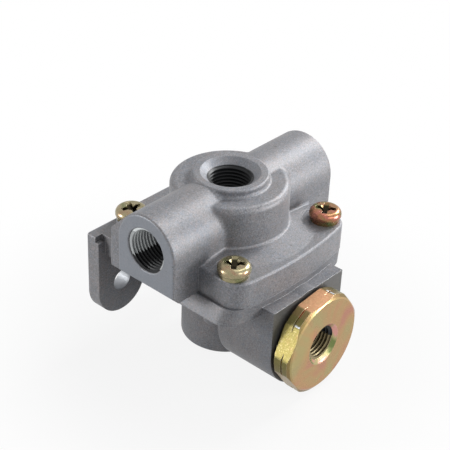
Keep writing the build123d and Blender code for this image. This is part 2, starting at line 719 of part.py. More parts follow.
def screw(x, y, angle):
    """Pan head screw with a cross recess."""
    head_low = seat + WASHER_THICKNESS
    head_top = head_low + HEAD_HEIGHT
    tip = lower_bottom + SCREW_TIP_INSET
    head = spin(
        [(0, head_low), (HEAD_RADIUS, head_low), (HEAD_RADIUS, head_top - HEAD_CROWN), (0, head_top)],
        [(1, HEAD_FOOT), (2, HEAD_DOME)],
    )
    body = head + upright(SCREW_RADIUS - SCREW_THREAD_GAP, tip, head_low)
    for turn in (0, 90):
        slot = Pos(0, 0, head_top) * Rot(0, 0, angle + turn) * recess_slot()
        body -= slot
    body -= Pos(0, 0, head_top - RECESS_DEPTH / 2) * Cone(RECESS_TIP_RADIUS, RECESS_MOUTH_RADIUS, RECESS_DEPTH)
    return Pos(x, y, 0) * body


def recess_slot():
    """One tapered slot of the cross recess, with its open side at z = 0."""
    half = RECESS_SPAN / 2
    floor = half * RECESS_FLOOR_SHARE
    wedge = make_face(
        Polyline((-half, 0), (half, 0), (floor, -RECESS_DEPTH), (-floor, -RECESS_DEPTH), close=True)
    )
    return extrude(Plane.XZ * wedge, RECESS_SLOT / 2, both=True)


def lock_washer(x, y, angle):
    """Split lock washer under a screw head."""
    ring = upright(WASHER_OUTER, seat, seat + WASHER_THICKNESS)
    ring -= upright(WASHER_INNER, seat, seat + WASHER_THICKNESS)
    cut = Rot(0, 0, angle) * Pos(WASHER_OUTER / 2, 0, seat + WASHER_THICKNESS / 2) * Rot(WASHER_SPLIT_LEAN, 0, 0) * Box(
        WASHER_OUTER, WASHER_SPLIT, 3 * WASHER_THICKNESS
    )
    return Pos(x, y, 0) * (ring - cut)


nodes = {
    "upper_body": upper_body(),
    "lower_body": lower_body(),
    "body_seal": body_seal(),
    "diaphragm": diaphragm(),
    "diaphragm_guide": diaphragm_guide(),
    "diaphragm_spring": diaphragm_spring(),
    "spring_retainer": spring_retainer(),
    "retaining_ring": retaining_ring(),
    "cap_nut": cap_nut(),
    "cap_nut_seal": cap_nut_seal(),
    "check_seat": check_seat(),
    "check_shuttle": check_shuttle(),
}
for number, (x, y) in enumerate(screw_places, start=1):
    nodes[f"cover_screw_{number}"] = screw(x, y, RECESS_ANGLES[number - 1])
    nodes[f"lock_washer_{number}"] = lock_washer(x, y, RECESS_ANGLES[number - 1])

os.makedirs("parts", exist_ok=True)
for name, shape in nodes.items():
    export_step(PLACE * shape, f"parts/{name}.step")
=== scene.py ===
import json
import math

import bpy
from mathutils import Matrix, Vector


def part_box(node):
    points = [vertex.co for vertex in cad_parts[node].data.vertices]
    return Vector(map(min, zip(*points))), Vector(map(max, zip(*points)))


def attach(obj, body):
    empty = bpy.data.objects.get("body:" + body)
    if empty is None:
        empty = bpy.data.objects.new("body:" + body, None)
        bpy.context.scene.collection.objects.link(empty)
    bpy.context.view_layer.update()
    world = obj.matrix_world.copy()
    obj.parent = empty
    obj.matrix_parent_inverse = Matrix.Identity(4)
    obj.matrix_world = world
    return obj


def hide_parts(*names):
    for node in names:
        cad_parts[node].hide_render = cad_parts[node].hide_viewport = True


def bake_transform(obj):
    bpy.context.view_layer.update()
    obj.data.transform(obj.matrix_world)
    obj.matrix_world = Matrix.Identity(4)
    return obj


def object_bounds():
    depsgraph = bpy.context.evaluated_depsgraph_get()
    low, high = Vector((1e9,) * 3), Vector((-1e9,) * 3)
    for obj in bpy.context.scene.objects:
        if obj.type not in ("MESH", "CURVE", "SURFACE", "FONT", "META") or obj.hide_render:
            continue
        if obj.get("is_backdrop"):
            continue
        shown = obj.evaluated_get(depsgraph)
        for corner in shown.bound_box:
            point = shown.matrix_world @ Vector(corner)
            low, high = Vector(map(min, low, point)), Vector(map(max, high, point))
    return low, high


bl_info = {
    "name": "Quick exhaust valve",
    "version": (1, 0, 0),
    "blender": (4, 5, 0),
    "location": "View3D > Sidebar > Valve",
    "description": "Gives the quick exhaust valve its finishes, its pipe threads and a studio",
    "category": "Object",
}

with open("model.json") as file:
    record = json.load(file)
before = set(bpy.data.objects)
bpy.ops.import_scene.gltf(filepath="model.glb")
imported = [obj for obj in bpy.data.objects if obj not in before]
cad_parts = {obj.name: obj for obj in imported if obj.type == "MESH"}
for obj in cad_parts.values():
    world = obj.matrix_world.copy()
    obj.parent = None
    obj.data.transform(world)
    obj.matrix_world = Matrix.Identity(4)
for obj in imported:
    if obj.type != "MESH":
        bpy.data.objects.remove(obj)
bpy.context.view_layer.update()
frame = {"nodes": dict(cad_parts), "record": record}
MOUNTS = {mount["name"]: mount for mount in frame["record"]["mounts"]}
MM = 0.001

# Camera: its place, its own axes, and its lens in pixels of a picture that is 450 wide
CAMERA_PLACE = Vector((-0.2985, -0.2888, 0.2771))
CAMERA_RIGHT = Vector((0.6712, -0.7404, 0.0357))
CAMERA_UP = Vector((0.3818, 0.3866, 0.8395))
CAMERA_BACK = Vector((-0.6353, -0.5499, 0.5422))
PIXELS = 450
FOCAL_PIXELS = 1256.7
SENSOR = 36.0
CLIP_NEAR, CLIP_FAR = 0.01, 20.0

# Lamps as seen in the picture: how far to the right, forwards and up, and the power in watts
RIGHTWARDS = Vector((CAMERA_RIGHT.x, CAMERA_RIGHT.y, 0.0)).normalized()
FORWARDS = Vector((CAMERA_BACK.x, CAMERA_BACK.y, 0.0)).normalized()
LAMP_TARGET = Vector((0.0, -0.035, 0.015))
LAMP_DISTANCE = 0.8
LAMP_SIZE = 0.28
LAMPS = (
    ("key_light", 1.0, -1.0, 0.57, 5.8),
    ("right_light", 1.0, 0.2, 0.2, 4.6),
    ("left_light", -1.0, 0.2, 0.2, 3.6),
    ("front_light", 1.0, 1.0, 0.57, 1.1),
    ("top_light", 0.3, -0.3, 0.92, 1.2),
)
WHITE = (1.0, 1.0, 1.0)
WORLD_GLOW = 0.11

# Floor: half its side, its gap below the object, its tones, how white it looks near the object, and the
# distances from the middle between which it turns fully white
FLOOR_HALF = 3.0
FLOOR_GAP = 0.0002
FLOOR_TONES = (0.5, 0.5, 0.5), (0.52, 0.52, 0.52)
FLOOR_WHITENESS = 0.88
FLOOR_MIDDLE_Y = -0.035
FLOOR_FADE = 0.05, 0.13

# Masks, in metres: each runs from nothing at its first number to full at its second. Radii are from the axis
# of the port or nut, and a machined face's depths are behind that face.
FACE_DEEP, FACE_SHALLOW = 0.0002, 0.00005
SINK_RADIUS = 0.0114, 0.0111
SINK_HEIGHT = 0.0440, 0.0441
SUPPLY_BORE = 0.0088, 0.0086
DELIVERY_BORE = 0.0087, 0.0085
EXHAUST_BORE = 0.0100, 0.0096
EAR_HOLE_X = 0.0296
EAR_HOLE = 0.0044, 0.00425
UPPER_END_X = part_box("upper_body")[1].x
LOWER_FRONT_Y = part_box("lower_body")[0].y

# Tones laid over the castings' own three
CAST_PATCH = (0.13, 0.132, 0.14)
CAST_ROSE = (0.3, 0.23, 0.225)
CAST_BLUE = (0.15, 0.19, 0.26)
CAST_CREST = (0.46, 0.46, 0.48)
CAST_PIT = (0.05, 0.05, 0.055)
# Painted shade of the flange over the lower casting, with a darker tone of its own
CAST_TONE_AND_SHADE = (0.02, 0.021, 0.024)
# Edges brightened partly by wear and partly by painted highlight
CAST_WEAR_AND_HIGHLIGHT = (0.5, 0.51, 0.53)
# Painted shade inside the bores
CAST_BORE_SHADE = (0.04, 0.042, 0.046)
# Painted reflection of white light on the walls of the ear holes
CAST_HOLE_REFLECTION = (0.55, 0.57, 0.6)

# Pipe threads: the metal's tones, with painted shade in the roots and deeper in, the mesh's fineness, and
# small gaps that keep a thread inside its bore
THREAD_ROOT_SHADE = (0.008, 0.009, 0.01)
THREAD_DEPTH_SHADE = (0.01, 0.01, 0.011)
BARE_METAL = (0.93, 0.97, 0.98)
PLATED_METAL = (0.5, 0.4, 0.2)
ROWS_PER_TURN = 8
STEPS_AROUND = 97
LEAD_TURNS = 1.25
SPARE_TURNS = 3
RIDGE_FLANK = 0.12, 0.88
ROOT_GAP = 0.00004
WALL_GAP = 0.00001
END_GAP = 0.0005
SUNK_START = 0.0004
WELD = 0.000002
SMOOTH_ANGLE = math.radians(24)

# Yellow zinc of the screws, from its olive to its reddest patches, and the shape of the shade in their cross
OLIVE_GOLD = ((0.17, 0.18, 0.08), (0.26, 0.235, 0.13), (0.33, 0.28, 0.17), (0.32, 0.21, 0.13))
COPPER = ((0.15, 0.19, 0.07), (0.25, 0.18, 0.075), (0.34, 0.14, 0.075), (0.42, 0.15, 0.12))
SCREW_TONES = {1: OLIVE_GOLD, 2: COPPER, 3: OLIVE_GOLD, 4: OLIVE_GOLD}
TONE_PLACES = 0.32, 0.44, 0.56, 0.68
ZINC_CREST = (0.6, 0.52, 0.34)
ZINC_PIT = (0.12, 0.1, 0.05)
# Edges brightened partly by wear and partly by painted highlight
ZINC_WEAR_AND_HIGHLIGHT = (0.75, 0.68, 0.5)
RECESS_SHADE = (0.018, 0.013, 0.007)
RECESS_BELOW = 0.0003
RECESS_FADE = 0.0007
RECESS_SLOPE = 0.066
RECESS_RADIUS = 0.0044, 0.004

# Cap nut: directions of its two flats that get painted light, in degrees from +X towards +Z, the places of
# its other marks and the tones laid over its own four
LIT_LEFT_FLAT = 155.0
LIT_UPPER_FLAT = 95.0
FLAT_COSINE = 0.86, 0.875
CORNER_RADIUS = 0.0195, 0.0198
CONE_RADIUS = 0.0182
CONE_SLOPE = 0.647
CONE_DEPTH = 0.00016, 0.00006
NUT_FACE_DEPTH = 0.00045, 0.00035
NUT_FACE_RADIUS = 0.0189, 0.0188
MOUTH_RADIUS = 0.0084, 0.0082
SCRAPES = (134.2, 0.0010, 0.0040), (74.2, 0.0012, 0.0050)
SCRAPE_COSINE = 0.99975, 0.99995
SCRAPE_FADE = 0.0003
NUT_OLIVE = (0.36, 0.33, 0.14)
NUT_ROSE = (0.5, 0.26, 0.16)
NUT_CREST = (0.85, 0.72, 0.42)
NUT_PIT = (0.2, 0.15, 0.06)
# Painted shade on the nut's rounded corners
NUT_CORNER_SHADE = (0.13, 0.115, 0.04)
NUT_CONE = (0.2, 0.14, 0.055)
NUT_SCRAPE = (0.6, 0.64, 0.7)
# Painted highlight along the nut's edges
NUT_EDGE_HIGHLIGHT = (0.9, 0.8, 0.58)
FACE_OLIVE = (0.37, 0.3, 0.13)
FACE_ROSE = (0.44, 0.2, 0.13)
FACE_CREST = (0.62, 0.46, 0.28)
MOUTH_TONES = (0.38, (0.16, 0.2, 0.07)), (0.5, (0.42, 0.36, 0.18)), (0.6, (0.62, 0.31, 0.26))

# Inner pieces: finish, dark and light tone, metallic, roughness, cells per metre, bump height, nodes
INNER_FINISHES = (
    ("seal_rubber", (0.012, 0.012, 0.013), (0.03, 0.03, 0.032), 0.0, 0.6, 300.0, 0.00002,
     ("body_seal", "cap_nut_seal", "check_shuttle")),
    ("diaphragm_rubber", (0.015, 0.014, 0.013), (0.035, 0.033, 0.03), 0.0, 0.55, 200.0, 0.00003,
     ("diaphragm",)),
    ("guide_plastic", (0.55, 0.52, 0.45), (0.68, 0.66, 0.6), 0.0, 0.4, 250.0, 0.00001,
     ("diaphragm_guide",)),
    ("spring_steel", (0.35, 0.35, 0.36), (0.55, 0.55, 0.56), 1.0, 0.3, 500.0, 0.00001,
     ("diaphragm_spring", "retaining_ring")),
    ("retainer_brass", (0.55, 0.38, 0.12), (0.75, 0.56, 0.22), 1.0, 0.35, 300.0, 0.00001,
     ("check_seat", "spring_retainer")),
)

# Height of the spring's end turns
SPRING_END = 0.0009

# Rounding seen on edges: samples, and how far a normal has turned where the edge mask starts and is full
BEVEL_SAMPLES = 4
EDGE_TURN = 0.01, 0.2
ZINC_SOFTNESS = 0.0002
NUT_SOFTNESS = 0.00022

SOCKETS = {"colour": "Base Color", "metallic": "Metallic", "roughness": "Roughness", "normal": "Normal"}


class Value:
    """A node's output that can stand in a Python sum."""

    def __init__(self, graph, socket):
        self.graph = graph
        self.socket = socket

    def math(self, operation, *others):
        """Adds a Math node on this value and the others."""
        values = dict(enumerate((self, *others)))
        return self.graph.node("ShaderNodeMath", {"operation": operation}, values)

    def __add__(self, other):
        return self.math("ADD", other)

    def __radd__(self, other):
        return self.math("ADD", other)

    def __sub__(self, other):
        return self.math("SUBTRACT", other)

    def __rsub__(self, other):
        return self.math("MULTIPLY", -1.0).math("ADD", other)

    def __mul__(self, other):
        return self.math("MULTIPLY", other)

    def __rmul__(self, other):
        return self.math("MULTIPLY", other)

    def __truediv__(self, other):
        return self.math("DIVIDE", other)


class Graph:
    """A tree of nodes, of a material, a world or a mesh."""

    def __init__(self, tree):
        self.tree = tree

    def node(self, kind, settings=None, inputs=None, output=0):
        """Adds a node, sets it up, links or fills its sockets and gives one of its outputs."""
        made = self.tree.nodes.new(kind)
        for name, value in (settings or {}).items():
            if name == "stops":
                self.set_stops(made.color_ramp, value)
            else:
                setattr(made, name, value)
        for key, value in (inputs or {}).items():
            socket = made.inputs[key]
            if isinstance(value, Value):
                self.tree.links.new(value.socket, socket)
            elif socket.type == "RGBA" and len(value) == 3:
                socket.default_value = (*value, 1.0)
            else:
                socket.default_value = value
        return Value(self, made.outputs[output]) if len(made.outputs) else None

    def set_stops(self, ramp, stops):
        """Gives a ramp its stops, each a place and a colour."""
        while len(ramp.elements) < len(stops):
            ramp.elements.new(0.5)
        for element, (place, colour) in zip(ramp.elements, stops):
            element.position = place
            element.color = (*colour, 1.0)

    def split(self, vector):
        """The three parts of a vector."""
        parts = self.node("ShaderNodeSeparateXYZ", {}, {0: vector}).socket.node.outputs
        return [Value(self, part) for part in parts]


class Shade(Graph):
    """A material whose surface is built node by node."""

    def __init__(self, name):
        self.material = bpy.data.materials.new(name)
        self.material.use_nodes = True
        super().__init__(self.material.node_tree)
        self.tree.nodes.clear()

    def place(self, centre=(0.0, 0.0, 0.0)):
        """Object coordinates moved so that centre is at zero."""
        here = self.node("ShaderNodeTexCoord", output="Object")
        location = tuple(-value for value in centre)
        return self.node("ShaderNodeMapping", {}, {"Vector": here, "Location": location})

    def noise(self, vector, scale, detail=2.0, roughness=0.5, distortion=0.0):
        """Smooth noise from about 0.3 to 0.7, with scale in cells per metre."""
        inputs = {
            "Vector": vector,
            "Scale": scale,
            "Detail": detail,
            "Roughness": roughness,
            "Distortion": distortion,
        }
        return self.node("ShaderNodeTexNoise", {}, inputs)

    def ramp(self, factor, *stops):
        """Colour ramp through stops of a place and a colour."""
        return self.node("ShaderNodeValToRGB", {"stops": stops}, {"Fac": factor})

    def step(self, value, start, full):
        """0 up to start and 1 from full on, with a smooth change between them."""
        inputs = {"Value": value, "From Min": start, "From Max": full}
        return self.node("ShaderNodeMapRange", {"interpolation_type": "SMOOTHSTEP"}, inputs)

    def layers(self, tone, *layers):
        """Lays colours over a tone, each through its own mask."""
        for mask, colour in layers:
            tone = self.node("ShaderNodeMix", {"data_type": "RGBA"}, {0: mask, 6: tone, 7: colour}, 2)
        return tone

    def bump(self, height, depth, normal=None):
        """Normal bent by a height, with depth in metres."""
        inputs = {"Height": height, "Distance": depth}
        if normal is not None:
            inputs["Normal"] = normal
        return self.node("ShaderNodeBump", {}, inputs)

    def edges(self, radius):
        """Normal rounded over edges, and a mask that is 1 on a sharp outer or inner edge."""
        rounded = self.node("ShaderNodeBevel", {"samples": BEVEL_SAMPLES}, {"Radius": radius})
        flat = self.node("ShaderNodeNewGeometry", output="Normal")
        product = {"operation": "DOT_PRODUCT"}
        turned = self.node("ShaderNodeVectorMath", product, {0: rounded, 1: flat}, "Value")
        return rounded, self.step(1 - turned, *EDGE_TURN)

    def finish(self, **inputs):
        """Ends the tree in a Principled surface."""
        inputs = {SOCKETS[key]: value for key, value in inputs.items()}
        self.output(self.node("ShaderNodeBsdfPrincipled", {}, inputs))
        return self.material

    def output(self, surface):
        self.node("ShaderNodeOutputMaterial", {}, {"Surface": surface})


def dress(node, material):
    """Gives a CAD node its finish."""
    piece = frame["nodes"][node]
    piece.data.materials.clear()
    piece.data.materials.append(material)


def distance(one, two):
    """Distance from an axis, given the two coordinates across it."""
    return (one * one + two * two).math("SQRT")


def mount_place(name):
    """Middle of a mount."""
    return Vector(MOUNTS[name]["pos_m"])


# Finishes


def casting_finish(name, given, machined, bore_shade_mask, machined_colour, tone_and_flange_shade):
    """Grey die-cast metal: blasted grain, cloudy colour, pits, bright edges of wear and painted highlight,
    smoother machined faces, painted shade in the bores and a painted reflection in the ear holes.
    """
    shade = Shade(name)
    here = shade.place()
    x, y, z = shade.split(here)
    cloud = shade.noise(here, 60.0, 4.0, 0.6, 0.6)
    patch = shade.noise(here, 260.0, 3.0, 0.6, 0.3)
    grain = shade.noise(here, 1900.0, 3.0, 0.7)
    speck = shade.noise(here, 4200.0, 2.0, 0.6)
    tint = shade.noise(here, 1000.0, 2.0, 0.6)
    pit = shade.noise(shade.place((0.01, 0.02, 0.03)), 420.0)
    rounded, edge = shade.edges(given.edge_softness)
    face = machined(shade, x, y, z)
    bore = bore_shade_mask(shade, x, y, z)
    ear_hole_reflection = shade.step(distance(x.math("ABSOLUTE") - EAR_HOLE_X, z), *EAR_HOLE)

    cool, middle, warm = given.casting_cool, given.casting_middle, given.casting_warm
    tone = shade.layers(
        shade.ramp(cloud, (0.3, cool), (0.5, middle), (0.7, warm)),
        (shade.step(patch, 0.4, 0.72) * 0.3, CAST_PATCH),
        (shade.step(tint, 0.53, 0.7) * 0.34, CAST_ROSE),
        (shade.step(tint, 0.47, 0.3) * 0.34, CAST_BLUE),
        (shade.step(grain, 0.52, 0.68) * 0.4, CAST_CREST),
        (shade.step(grain, 0.48, 0.32) * 0.56, CAST_PIT),
        # painted shade under the flange over the whole lower casting, with a darker tone of its own
        (tone_and_flange_shade, CAST_TONE_AND_SHADE),
        # on the lower casting this tone is partly painted shade of the cap nut
        (face * 0.7, machined_colour),
        (shade.step(pit, 0.27, 0.22) * 0.6, CAST_PIT),
        # edges brightened partly by wear and partly by painted highlight
        (edge * 0.28, CAST_WEAR_AND_HIGHLIGHT),
        # painted shade on the walls inside the ports and the exhaust passage
        (bore * 0.6, CAST_BORE_SHADE),
        # painted reflection of white light on the walls of the ear holes
        (ear_hole_reflection * 0.85, CAST_HOLE_REFLECTION),
    )
    rough = 0.5 + (grain - 0.5) * 0.4 - face * 0.08 - edge * 0.08
    height = (grain * 0.6 + speck * 0.4) * (1 - face * 0.7)
    normal = shade.bump(height, given.grain_depth, rounded)
    return shade.finish(colour=tone, metallic=given.casting_metal, roughness=rough, normal=normal)


def upper_machined(shade, x, y, z):
    """Mask of the upper casting's machined faces: port ends, countersink and mounting face."""
    ends = shade.step(x.math("ABSOLUTE"), UPPER_END_X - FACE_DEEP, UPPER_END_X - FACE_SHALLOW)
    supply = mount_place("supply_port")
    sink = shade.step(distance(x - supply.x, y - supply.y), *SINK_RADIUS)
    sink = sink * shade.step(z, *SINK_HEIGHT) * 0.35
    back = shade.step(y, -FACE_DEEP, -FACE_SHALLOW)
    return ends.math("MAXIMUM", sink).math("MAXIMUM", back)


def upper_bore_shade(shade, x, y, z):
    """Mask of the painted shade on the walls inside the upper casting's ports."""
    supply = mount_place("supply_port")
    delivery = mount_place("delivery_port_near")
    down = shade.step(distance(x - supply.x, y - supply.y), *SUPPLY_BORE)
    along = shade.step(distance(y - delivery.y, z - delivery.z), *DELIVERY_BORE)
    return down.math("MAXIMUM", along)


def lower_machined(shade, x, y, z):
    """Mask of the face that the cap nut sits against."""
    return shade.step(y, LOWER_FRONT_Y + FACE_DEEP, LOWER_FRONT_Y + FACE_SHALLOW)


def lower_bore_shade(shade, x, y, z):
    """Mask of the painted shade on the walls of the exhaust passage."""
    exhaust = mount_place("exhaust_port")
    return shade.step(distance(x - exhaust.x, y - exhaust.y), *EXHAUST_BORE) * 0.4


def thread_finish(name, bright):
    """Cut metal of the pipe threads, bright on the crests, with painted shade dark in the roots and darker
    with depth.
    """
    shade = Shade(name)
    grain = shade.noise(shade.place(), 1800.0)
    crest = shade.node("ShaderNodeAttribute", {"attribute_name": "crest"}, output="Fac")
    deep = shade.node("ShaderNodeAttribute", {"attribute_name": "deep"}, output="Fac")
    # painted shade in the thread's roots, growing darker with depth
    tone = shade.layers(
        THREAD_ROOT_SHADE,
        (shade.step(crest, 0.25, 0.75), bright),
        (deep * 0.15, THREAD_DEPTH_SHADE),
    )
    rough = 0.3 + grain * 0.2
    return shade.finish(colour=tone, metallic=0.5, roughness=rough, normal=shade.bump(grain, 0.00001))


def zinc_finish(name, centre, tones, recess=None):
    """Yellow passivated zinc of a screw or washer; recess is the height below which its cross gets painted
    shade.
    """
    shade = Shade(name)
    here = shade.place(centre)
    cloud = shade.noise(here, 190.0, 2.0, 0.5, 1.0)
    grain = shade.noise(here, 1600.0, 3.0, 0.6)
    rounded, edge = shade.edges(ZINC_SOFTNESS)
    tone = shade.layers(
        shade.ramp(cloud, *zip(TONE_PLACES, tones)),
        (shade.step(grain, 0.52, 0.75) * 0.15, ZINC_CREST),
        (shade.step(grain, 0.48, 0.3) * 0.25, ZINC_PIT),
        # edges brightened partly by wear and partly by painted highlight
        (edge * 0.4, ZINC_WEAR_AND_HIGHLIGHT),
    )
    if recess is not None:
        x, y, z = shade.split(here)
        out = distance(x, y)
        # painted shade inside the cross recess
        below = shade.step(z + out * RECESS_SLOPE, recess, recess - RECESS_FADE)
        tone = shade.layers(tone, (below * shade.step(out, *RECESS_RADIUS) * 0.95, RECESS_SHADE))
    rough = 0.26 + (grain - 0.5) * 0.2
    normal = shade.bump(grain, 0.000012, rounded)
    return shade.finish(colour=tone, metallic=0.85, roughness=rough, normal=normal)


def nut_finish(given):
    """Yellow passivated nut: a smooth turned face, drawn flats whose unlike tints are painted light and
    shade, olive corners with painted shade, and painted highlights on its edges.
    """
    low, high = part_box("cap_nut")
    centre = (low + high) / 2
    front = low.y - centre.y
    shade = Shade("nut_zinc")
    here = shade.place(centre)
    x, y, z = shade.split(here)
    out = distance(x, z)
    cloud = shade.noise(here, 75.0, 2.0, 0.5, 0.8)
    patch = shade.noise(here, 330.0, 3.0, 0.6, 0.5)
    streak = shade.noise(here, 170.0, 1.0, 0.5, 0.3)
    grain = shade.noise(here, 1500.0, 3.0, 0.65)
    rounded, edge = shade.edges(NUT_SOFTNESS)

    def facing(angle):
        """Cosine between a point's direction from the axis and this one, in degrees from +X towards +Z."""
        turn = math.radians(angle)
        return (x * math.cos(turn) + z * math.sin(turn)) / out

    def scrape(angle, near, far):
        """Mask of a bright scrape along the edge of a flat, between two distances behind the face."""
        strip = shade.step(facing(angle), *SCRAPE_COSINE)
        begun = shade.step(y, front + near, front + near + SCRAPE_FADE)
        ended = shade.step(y, front + far, front + far - SCRAPE_FADE)
        return strip * (begun * ended) * shade.step(patch, 0.36, 0.46)

    # masks of the upper and left flats, which get painted light
    yellow = shade.step(facing(LIT_LEFT_FLAT), *FLAT_COSINE)
    orange = shade.step(facing(LIT_UPPER_FLAT), *FLAT_COSINE)
    roughened = 0.25 + yellow * 0.3
    cone = shade.step(y - front - (out - CONE_RADIUS) * CONE_SLOPE, *CONE_DEPTH)
    first, second = (scrape(*place) for place in SCRAPES)
    face = shade.step(y, front + NUT_FACE_DEPTH[0], front + NUT_FACE_DEPTH[1])
    face = face * shade.step(out, *NUT_FACE_RADIUS)
    face_tone = shade.layers(
        shade.ramp(cloud, (0.34, FACE_OLIVE), (0.5, given.nut_face), (0.64, FACE_ROSE)),
        (shade.step(grain, 0.45, 0.7) * 0.06, FACE_CREST),
    )
    tone = shade.layers(
        # painted shade on most flats, painted light on the upper and left ones
        given.nut_shaded_flats,
        (orange, given.nut_upper_flat_lit),
        (yellow, given.nut_left_flat_lit),
        (shade.step(patch, 0.5, 0.72) * 0.35, NUT_OLIVE),
        (shade.step(patch, 0.47, 0.3) * 0.3, NUT_ROSE),
        (shade.step(grain, 0.52, 0.7) * roughened, NUT_CREST),
        (shade.step(grain, 0.48, 0.3) * roughened, NUT_PIT),
        # painted shade on the rounded corners
        (shade.step(out, *CORNER_RADIUS) * 0.85, NUT_CORNER_SHADE),
        (cone * 0.8, NUT_CONE),
        ((first + second).math("MINIMUM", 1.0) * 0.8, NUT_SCRAPE),
        (face, face_tone),
        (shade.step(out, *MOUTH_RADIUS), shade.ramp(streak, *MOUTH_TONES)),
        # painted highlight along the edges
        (edge * 0.5, NUT_EDGE_HIGHLIGHT),
    )
    rough = 0.34 + (grain - 0.5) * 0.2 - face * 0.04 + yellow * 0.16
    normal = shade.bump(grain * (1 - face * 0.8), 0.00005, rounded)
    return shade.finish(colour=tone, metallic=0.85, roughness=rough, normal=normal)


def plain_finish(name, dark, light, metallic, roughness, scale, depth):
    """Small inner pieces: two close tones, broken up by noise."""
    shade = Shade(name)
    here = shade.place()
    cloud = shade.noise(here, scale, 4.0, 0.6)
    fine = shade.noise(here, scale * 8.0)
    tone = shade.ramp(cloud, (0.3, dark), (0.7, light))
    rough = roughness + (fine - 0.5) * 0.25
    return shade.finish(colour=tone, metallic=metallic, roughness=rough, normal=shade.bump(fine, depth))


# Pipe threads


class Recipe(Graph):
    """A geometry tree with named inputs, whose identifiers are kept in keys."""

    def __init__(self, name, inputs):
        super().__init__(bpy.data.node_groups.new(name, "GeometryNodeTree"))
        sockets = self.tree.interface
        sockets.new_socket("Geometry", in_out="OUTPUT", socket_type="NodeSocketGeometry")
        self.keys = {}
        for title, kind in inputs.items():
            made = sockets.new_socket(title, in_out="INPUT", socket_type="NodeSocket" + kind)
            self.keys[title] = made.identifier
        self.given = {title: self.node("NodeGroupInput", output=title) for title in inputs}


def thread_recipe():
    """Sleeve with a helical ridge on its inside, along +Z from its mouth at zero."""
    recipe = Recipe("pipe_thread", {
        "Root Radius": "Float",
        "Wall Radius": "Float",
        "Ridge Depth": "Float",
        "Pitch": "Float",
        "Length": "Float",
        "Taper": "Float",
        "Rows": "Int",
        "Rows Per Turn": "Float",
        "Steps Around": "Int",
        "Finish": "Material",
    })
    given = recipe.given
    counts = {"Vertices X": given["Steps Around"], "Vertices Y": given["Rows"]}
    grid = recipe.node("GeometryNodeMeshGrid", {}, {"Size X": 1.0, "Size Y": 1.0, **counts})

    # The grid is a unit square: across, it goes once round the axis, and along, it climbs row by row
    across, along, _ = recipe.split(recipe.node("GeometryNodeInputPosition"))
    turn = across + 0.5
    last = given["Rows"] - 1.0
    row = ((along + 0.5) * last).math("ROUND")
    phase = row / given["Rows Per Turn"]
    climb = (phase + turn - LEAD_TURNS) * given["Pitch"]
    clamped = climb.math("MAXIMUM", 0.0).math("MINIMUM", given["Length"])

    # The ridge rises and falls once a turn. It stops at both ends and on the first and last rows
    wave = phase.math("PINGPONG", 0.5) * 2.0
    flank = {"Value": wave, "From Min": RIDGE_FLANK[0], "From Max": RIDGE_FLANK[1]}
    ridge = recipe.node("ShaderNodeMapRange", {}, flank)
    before_last = row.math("LESS_THAN", last - 0.5)
    threaded = climb.math("GREATER_THAN", 0.0) * climb.math("LESS_THAN", given["Length"])
    threaded = threaded * (row.math("GREATER_THAN", 0.5) * before_last)
    radius = given["Root Radius"] - climb * given["Taper"] - ridge * given["Ridge Depth"]
    radius = radius * threaded + given["Wall Radius"] * (1 - threaded)

    # The last row comes back to the mouth, which closes the sleeve along its wall
    height = clamped * before_last
    angle = turn * (2 * math.pi)
    place = {0: radius * angle.math("COSINE"), 1: radius * angle.math("SINE"), 2: height}
    place = recipe.node("ShaderNodeCombineXYZ", {}, place)
    mesh = recipe.node("GeometryNodeSetPosition", {}, {"Geometry": grid, "Position": place})
    # the share of the thread's length stored here sets its painted shade
    for name, value in (("crest", ridge * threaded), ("deep", clamped / given["Length"])):
        mesh = recipe.node(
            "GeometryNodeStoreNamedAttribute",
            {"data_type": "FLOAT", "domain": "POINT"},
            {"Geometry": mesh, "Name": name, "Value": value},
        )
    mesh = recipe.node("GeometryNodeMergeByDistance", {}, {"Geometry": mesh, "Distance": WELD})
    mesh = recipe.node("GeometryNodeRealizeInstances", {}, {"Geometry": mesh})
    mesh = recipe.node("GeometryNodeSetMaterial", {}, {"Geometry": mesh, "Material": given["Finish"]})
    recipe.node("NodeGroupOutput", {}, {0: mesh})
    return recipe


def grow(name, recipe, values, matrix, body):
    """Runs a geometry tree once, keeps its mesh and puts it in place."""
    holder = bpy.data.objects.new(name + "_maker", bpy.data.meshes.new(name + "_seed"))
    bpy.context.scene.collection.objects.link(holder)
    modifier = holder.modifiers.new("maker", "NODES")
    modifier.node_group = recipe.tree
    for title, value in values.items():
        modifier[recipe.keys[title]] = value
    bpy.context.view_layer.update()
    evaluated = holder.evaluated_get(bpy.context.evaluated_depsgraph_get())
    mesh = bpy.data.meshes.new_from_object(evaluated)
    bpy.data.objects.remove(holder)
    mesh.name = name
    mesh.transform(matrix)
    outward(mesh)
    piece = bpy.data.objects.new(name, mesh)
    bpy.context.scene.collection.objects.link(piece)
    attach(piece, body)


def outward(mesh):
    """Turns a closed mesh so that its faces point outwards, and shades it smooth across gentle angles."""
    volume = 0.0
    mesh.calc_loop_triangles()
    for triangle in mesh.loop_triangles:
        a, b, c = (mesh.vertices[index].co for index in triangle.vertices)
        volume += a.dot(b.cross(c))
    if volume < 0:
        mesh.flip_normals()
    mesh.shade_smooth()
    mesh.set_sharp_from_angle(angle=SMOOTH_ANGLE)


# Stage


def seen_directly(graph):
    """1 for rays from the camera, a mirror or a glass."""
    seen = graph.node("ShaderNodeLightPath", output="Is Camera Ray")
    for name in ("Is Glossy Ray", "Is Transmission Ray"):
        seen = seen.math("MAXIMUM", graph.node("ShaderNodeLightPath", output=name))
    return seen


